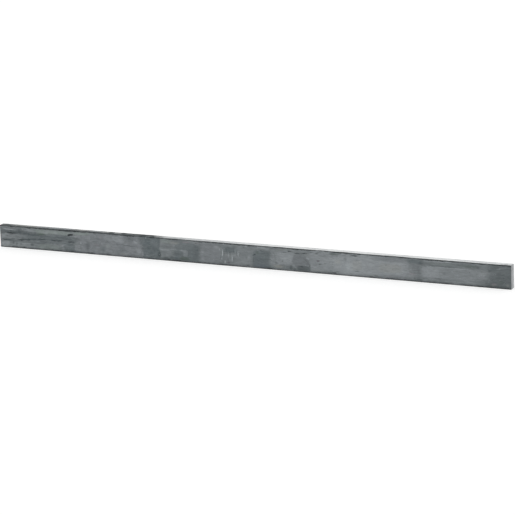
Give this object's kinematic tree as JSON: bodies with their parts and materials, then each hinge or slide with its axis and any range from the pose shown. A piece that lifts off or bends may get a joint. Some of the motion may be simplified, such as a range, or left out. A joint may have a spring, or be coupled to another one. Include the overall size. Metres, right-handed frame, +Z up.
{
  "type": "flat bar",
  "caption": "Straight steel flat bar, hot-rolled, with a solid rectangular section, slightly rounded long corners and square sawn ends.",
  "frame": {"origin": "centre of the narrow side that the bar stands on, at the middle of its length", "axes": "+X along the bar's length, +Y through its thickness from the front wide side to the back one, +Z up across its width"},
  "size_m": [0.9144, 0.0126, 0.0381],
  "materials": {
    "mill_scale": "bare hot-rolled steel: blue-grey mottled mill scale on the long sides, bright saw-cut ends"
  },
  "bodies": {
    "root": {"flat_bar": "mill_scale"}
  },
  "joints": []
}
